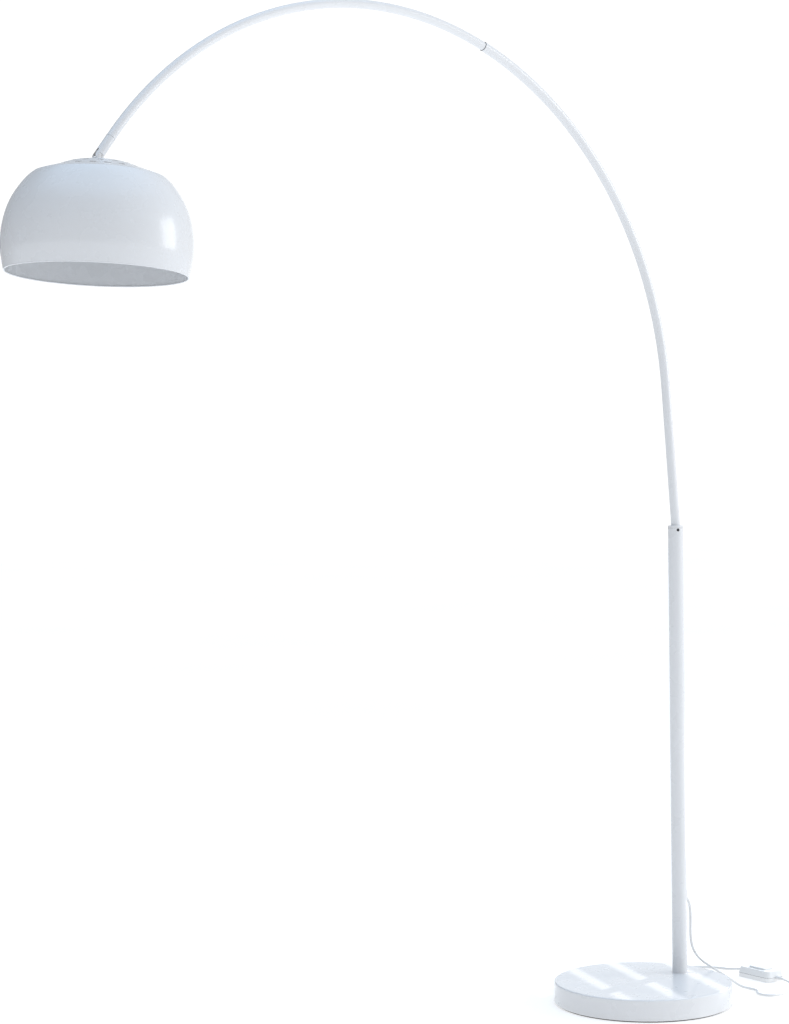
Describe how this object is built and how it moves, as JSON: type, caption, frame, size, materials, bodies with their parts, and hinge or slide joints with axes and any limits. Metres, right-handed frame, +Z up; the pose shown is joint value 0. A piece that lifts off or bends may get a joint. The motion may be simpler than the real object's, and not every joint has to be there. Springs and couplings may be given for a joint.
{
  "type": "arc floor lamp",
  "caption": "Arc floor lamp: weighted round base, offset pole, telescoping arched arm, tilting dome shade, cord with foot switch and plug.",
  "frame": {"origin": "centre of the round base, on the floor", "axes": "+Z up; the arm arches from the pole on the +X side of the base towards the shade at -X, in the XZ plane; +Y across"},
  "size_m": [1.7661, 0.4207, 1.8837],
  "materials": {
    "white_paint": "semi-gloss white powder coat",
    "shade_paint": "gloss white paint, inside and out",
    "chrome": "polished chrome plate",
    "dark_screw": "blackened steel",
    "zinc_steel": "bright zinc plate",
    "cast_iron": "rough casting, primed",
    "felt": "pressed felt",
    "nylon": "natural nylon",
    "white_plastic": "smooth moulded, satin gloss",
    "cord_pvc": "smooth soft PVC",
    "holder_plastic": "moulded, satin",
    "porcelain": "glazed",
    "brass": "plain",
    "bulb_glass": "frosted",
    "bulb_metal": "rolled",
    "black_glass": "glossy insulator",
    "pin_nickel": "nickel plated",
    "mechanism": "moulded"
  },
  "bodies": {
    "root": {"floor_pad": "felt", "base_plate": "zinc_steel", "plate_screws": "zinc_steel", "plate_spacers": "zinc_steel", "ballast_disc": "cast_iron", "base_cover": "white_paint", "pole_bolt": "zinc_steel", "pole_washer": "zinc_steel", "pole_foot_plug": "zinc_steel", "pole_tube": "white_paint", "pole_collar": "white_paint", "cord_outlet": "white_plastic", "pole_cable": "cord_pvc", "lamp_cord": "cord_pvc", "plug_cord": "cord_pvc", "plug_lead": "cord_pvc", "cord_coil": "cord_pvc", "switch_lower_shell": "white_plastic", "switch_upper_shell": "white_plastic", "switch_screws": "zinc_steel", "switch_mechanism": "mechanism", "switch_reliefs": "cord_pvc", "plug_body": "cord_pvc", "plug_pins": "pin_nickel"},
    "set_screw": {"arm_set_screw": "dark_screw"},
    "pedal": {"switch_pedal": "white_plastic"},
    "arm_guide": {"guide_bush": "nylon"},
    "lower_arm": {"lower_arm_tube": "white_paint", "arm_mouth_ring": "white_paint", "lower_arm_cable": "cord_pvc"},
    "upper_arm": {"upper_arm_tube": "white_paint", "arm_slide_bush": "nylon", "upper_arm_cable": "cord_pvc", "arm_ferrule": "white_paint", "knuckle_screw": "chrome", "knuckle_nut": "chrome", "knuckle_washers": "zinc_steel"},
    "shade_head": {"shade_knuckle": "chrome", "shade": "shade_paint", "shade_washer": "zinc_steel", "shade_nut": "zinc_steel", "lampholder_cup": "holder_plastic", "lampholder_core": "porcelain", "screw_shell": "brass", "centre_contact": "brass", "holder_cable": "cord_pvc"},
    "bulb": {"bulb_glass": "bulb_glass", "bulb_cap": "bulb_metal", "bulb_contact": "black_glass"}
  },
  "joints": [
    {"name": "arm_turn", "type": "hinge", "parent": "root", "child": "arm_guide", "pos_m": [0.108, 0, 0.89], "axis": [0, 0, 1], "range_deg": [-90, 90]},
    {"name": "arm_height", "type": "slide", "parent": "arm_guide", "child": "lower_arm", "axis": [0, 0, 1], "range_m": [0, 0.2]},
    {"name": "arm_reach", "type": "hinge", "parent": "lower_arm", "child": "upper_arm", "pos_m": [-0.639, 0, 1.14979], "axis": [0, 1, 0], "range_deg": [-6, 30]},
    {"name": "shade_tilt", "type": "hinge", "parent": "upper_arm", "child": "shade_head", "pos_m": [-1.24264, 0, 1.55503], "axis": [0, 1, 0], "range_deg": [-35, 45]},
    {"name": "bulb_out", "type": "slide", "parent": "shade_head", "child": "bulb", "axis": [-0.0541, 0, -0.9985], "range_m": [0, 0.03]},
    {"name": "set_screw_turn", "type": "hinge", "parent": "root", "child": "set_screw", "pos_m": [0.108, 0, 0.931], "axis": [-0.454, -0.891, 0], "range_deg": [0, 360]},
    {"name": "pedal_press", "type": "slide", "parent": "root", "child": "pedal", "axis": [0, 0, -1], "range_m": [0, 0.0025], "stiffness_N_per_m": 700, "springref_m": -0.0015}
  ]
}
